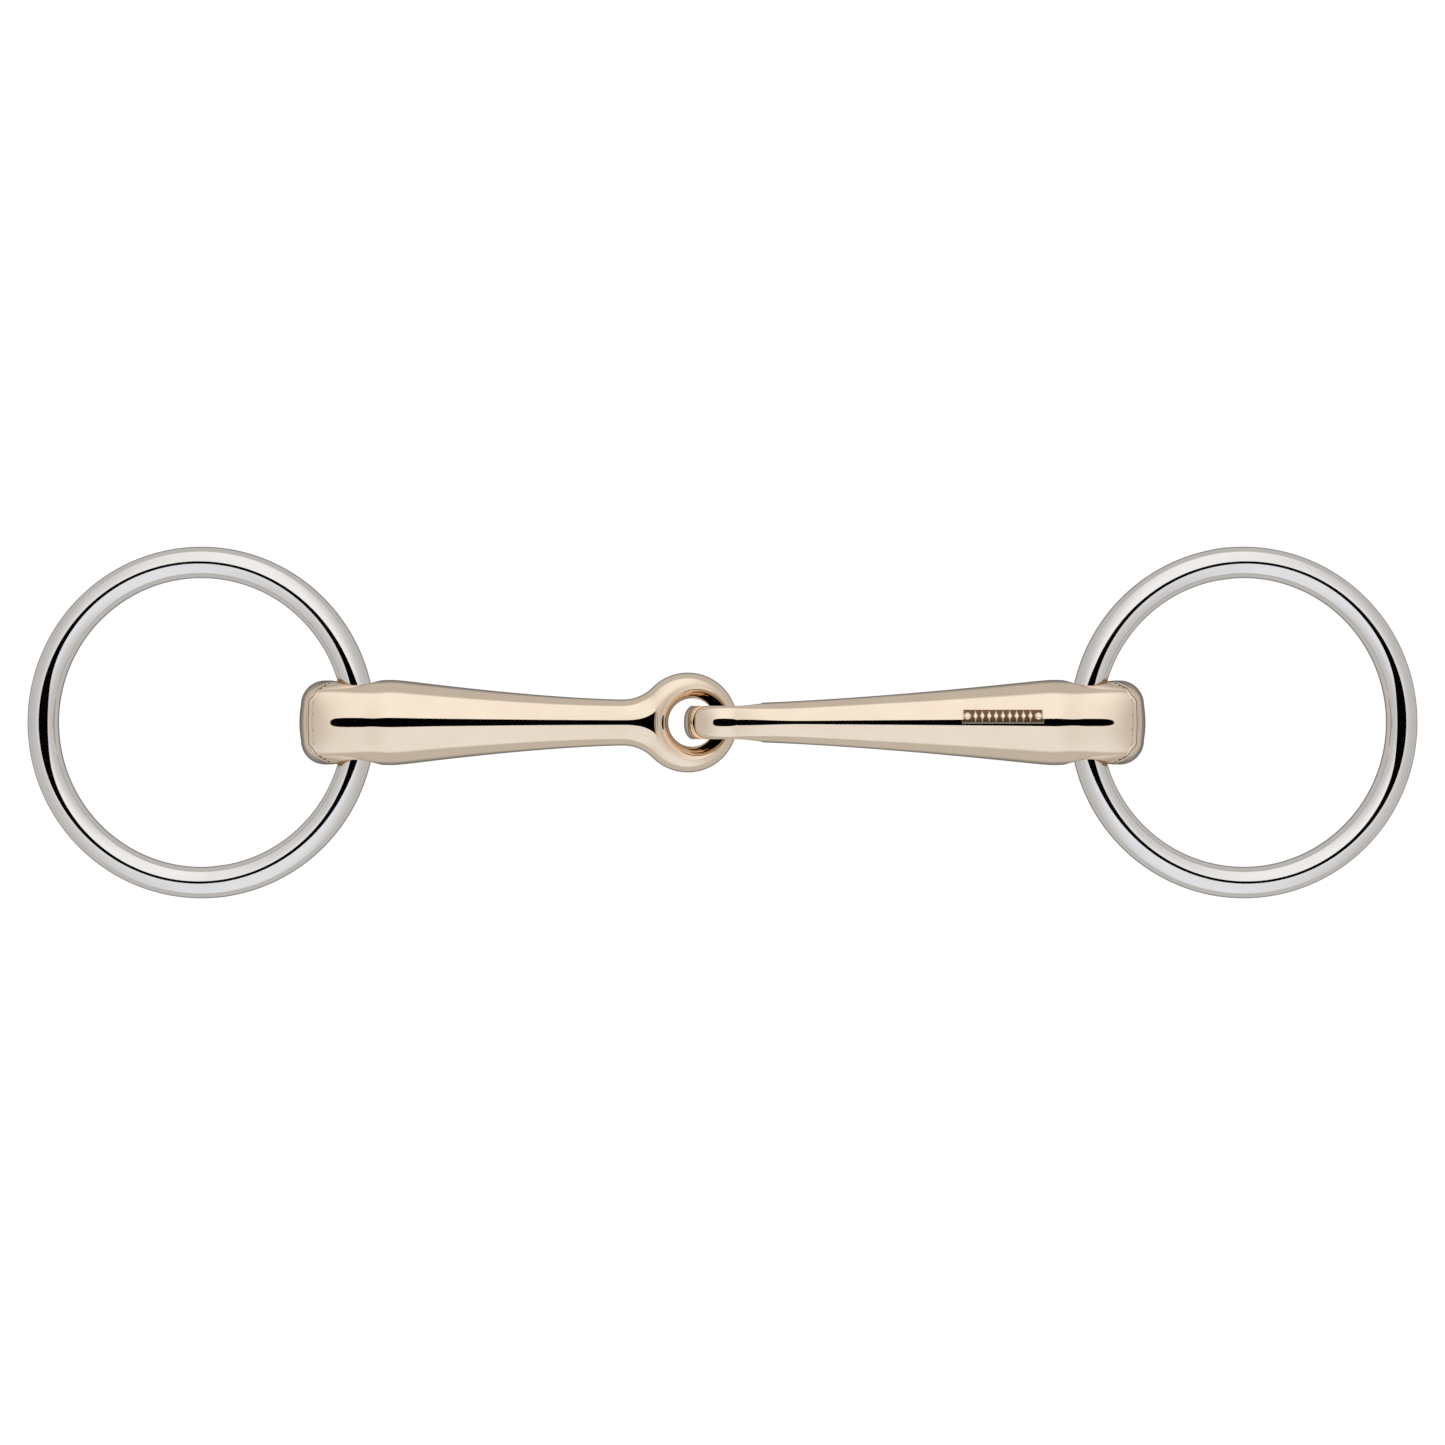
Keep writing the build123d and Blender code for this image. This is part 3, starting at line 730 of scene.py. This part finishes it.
def polished_metal(name, group, clean, deep, stretch, roughness, smudge, wave):
    """Mirror-polished metal: its clean colour, a deeper one for painted shade in recesses and for smudges,
    and what polishing leaves.
    """
    material, nodes, links = new_material(name)
    out = nodes.new("ShaderNodeOutputMaterial")
    shader = nodes.new("ShaderNodeBsdfPrincipled")
    place = nodes.new("ShaderNodeTexCoord")
    marks = nodes.new("ShaderNodeGroup")
    marks.node_tree = group
    marks.inputs["Line Stretch"].default_value = stretch
    marks.inputs["Roughness"].default_value = roughness
    marks.inputs["Smudge"].default_value = smudge
    links.new(place.outputs["Object"], marks.inputs["Coordinates"])
    # painted shade from the mesh's corners, added to the smudge clouds, mixes the clean colour towards the
    # deeper one
    painted_shade = nodes.new("ShaderNodeAttribute")
    painted_shade.attribute_name = "painted_shade"
    cloudy = nodes.new("ShaderNodeMapRange")
    cloudy.inputs["From Min"].default_value = CLOUD_LOW
    cloudy.inputs["From Max"].default_value = CLOUD_HIGH
    cloudy.inputs["To Min"].default_value = 0.0
    cloudy.inputs["To Max"].default_value = CLOUD_SHARE
    links.new(marks.outputs["Cloud"], cloudy.inputs["Value"])
    share = nodes.new("ShaderNodeMath")
    share.operation = "ADD"
    share.use_clamp = True
    links.new(painted_shade.outputs["Fac"], share.inputs[0])
    links.new(cloudy.outputs["Result"], share.inputs[1])
    colour = nodes.new("ShaderNodeMix")
    colour.data_type = "RGBA"
    colour.inputs["A"].default_value = clean
    colour.inputs["B"].default_value = deep
    links.new(share.outputs[0], colour.inputs["Factor"])
    bump = nodes.new("ShaderNodeBump")
    bump.inputs["Distance"].default_value = wave
    links.new(marks.outputs["Height"], bump.inputs["Height"])
    links.new(colour.outputs["Result"], shader.inputs["Base Color"])
    links.new(marks.outputs["Roughness"], shader.inputs["Roughness"])
    links.new(bump.outputs["Normal"], shader.inputs["Normal"])
    shader.inputs["Metallic"].default_value = 1
    links.new(shader.outputs["BSDF"], out.inputs["Surface"])
    return material


# ---------------------------------------------------------------- tent, floor and camera


def card(name, outline, height):
    """A flat card facing up, its place in its mesh."""
    mesh = bpy.data.meshes.new(name)
    mesh.from_pydata([(x, y, height) for x, y in outline], [], [list(range(len(outline)))])
    piece = bpy.data.objects.new(name, mesh)
    bpy.context.collection.objects.link(piece)
    return piece


def make_camera():
    camera = bpy.data.cameras.new("camera")
    camera.sensor_width = SENSOR
    camera.lens = SENSOR * CAMERA_HEIGHT / FRAME_WIDTH
    holder = bpy.data.objects.new("camera", camera)
    holder.location = (0, 0, CAMERA_HEIGHT)
    bpy.context.collection.objects.link(holder)
    bpy.context.scene.camera = holder


def make_world():
    """The light tent: brightest overhead, dimmer at its two ends and below, a little cooler on one side."""
    world = bpy.data.worlds.new("tent")
    bpy.context.scene.world = world
    world.use_nodes = True
    nodes, links = world.node_tree.nodes, world.node_tree.links
    back = nodes["Background"]
    back.inputs["Strength"].default_value = 1.0
    direction = nodes.new("ShaderNodeTexCoord")
    parts = nodes.new("ShaderNodeSeparateXYZ")
    links.new(direction.outputs["Generated"], parts.inputs[0])

    def span(value, low, high):
        node = nodes.new("ShaderNodeMapRange")
        node.interpolation_type = "SMOOTHSTEP"
        node.inputs["From Min"].default_value = low
        node.inputs["From Max"].default_value = high
        links.new(value, node.inputs["Value"])
        return node.outputs["Result"]

    def mix(factor, first, second, blend="MIX"):
        node = nodes.new("ShaderNodeMix")
        node.data_type = "RGBA"
        node.blend_type = blend
        links.new(factor, node.inputs["Factor"])
        for value, socket in ((first, node.inputs["A"]), (second, node.inputs["B"])):
            if isinstance(value, tuple):
                socket.default_value = value
            else:
                links.new(value, socket)
        return node.outputs["Result"]

    ends = nodes.new("ShaderNodeMath")
    ends.operation = "ABSOLUTE"
    links.new(parts.outputs["X"], ends.inputs[0])
    walls = mix(span(parts.outputs["Y"], -WALLS_MEET, WALLS_MEET), COOL_WALL, WARM_WALL)
    dimmed = mix(span(ends.outputs[0], 0.1, 1.0), walls, TENT_ENDS)
    below = mix(span(parts.outputs["Z"], -0.98, -0.6), STRAIGHT_BELOW, BELOW)
    tent = mix(span(parts.outputs["Z"], -0.03, 0.16), below, dimmed)
    links.new(tent, back.inputs["Color"])


def make_floor():
    corners = [(-1, -1), (1, -1), (1, 1), (-1, 1)]
    floor = card("floor", [(x * FLOOR_HALF, y * FLOOR_HALF) for x, y in corners], FLOOR_HEIGHT)
    material, nodes, links = new_material("pale_floor")
    out = nodes.new("ShaderNodeOutputMaterial")
    shader = nodes.new("ShaderNodeBsdfPrincipled")
    shader.inputs["Base Color"].default_value = FLOOR_GREY
    shader.inputs["Roughness"].default_value = 1
    shader.inputs["Specular IOR Level"].default_value = 0
    shader.inputs["Emission Color"].default_value = (1, 1, 1, 1)
    shader.inputs["Emission Strength"].default_value = FLOOR_GLOW
    links.new(shader.outputs["BSDF"], out.inputs["Surface"])
    floor.data.materials.append(material)
    floor.visible_glossy = False


def make_lens_slot():
    """The dark opening in the tent that the camera looks through; only the metal sees it.

    Its outline is a superellipse: fourth power along the slot, square across.
    """
    angle = np.linspace(0, 2 * math.pi, SLOT_POINTS, endpoint=False)
    along = SLOT_HALF_X * SLOT_HEIGHT * np.sign(np.cos(angle)) * np.sqrt(np.abs(np.cos(angle)))
    across = SLOT_HALF_Y * SLOT_HEIGHT * np.sin(angle)
    slot = card("lens_slot", np.stack([along, across], axis=1).tolist(), SLOT_HEIGHT)
    material, nodes, links = new_material("lens_slot")
    out = nodes.new("ShaderNodeOutputMaterial")
    glow = nodes.new("ShaderNodeEmission")
    glow.inputs["Color"].default_value = (0, 0, 0, 1)
    links.new(glow.outputs["Emission"], out.inputs["Surface"])
    slot.data.materials.append(material)
    slot.visible_camera = False
    slot.visible_diffuse = False
    slot.visible_shadow = False
    slot.visible_transmission = False


# ---------------------------------------------------------------- the object

make_camera()
make_world()
make_floor()
make_lens_slot()

polish = polish_group()
# the deeper gold is the painted shade colour of the bore, the hole and their mouths, and also the smudges'
# colour
golden = polished_metal("golden_alloy", polish, clean=linear(250, 234, 214), deep=linear(196, 160, 122),
                        stretch=(60, 900, 900), roughness=0.035, smudge=0.04, wave=0.00002)
# dark brown painted shade for the butt creases; the stamped panel's dark ground uses this colour too
seam = polished_metal("crease_shade_and_ground", polish, clean=linear(120, 92, 68), deep=linear(70, 48, 32),
                      stretch=(60, 900, 900), roughness=0.3, smudge=0.1, wave=0.00001)
steel = polished_metal("ring_steel", polish, clean=linear(240, 239, 238), deep=linear(196, 194, 192),
                       stretch=(300, 300, 1200), roughness=0.04, smudge=0.06, wave=0.00002)

for name, arm in (("left_cannon", LEFT), ("right_cannon", RIGHT)):
    make_cannon(name, arm).data.materials.append(golden)
    for face, front in (("front", 1), ("back", -1)):
        crease = make_crease(name.replace("cannon", "butt") + "_crease_" + face, arm, front)
        crease.data.materials.append(seam)
        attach(crease, name)
panel = make_panel("stamped_panel", RIGHT, PANEL_LIFT, 0.0, 1.0)
panel.data.materials.append(golden)
ground = make_panel("stamped_ground", RIGHT, GROUND_LIFT, PANEL_EDGE, 0.0)
ground.data.materials.append(seam)
make_ring("left_ring_polished", "left_ring", -1, -WELD_TURN).data.materials.append(steel)
make_ring("right_ring_polished", "right_ring", 1, WELD_TURN).data.materials.append(steel)

bpy.context.scene.view_settings.view_transform = "Standard"
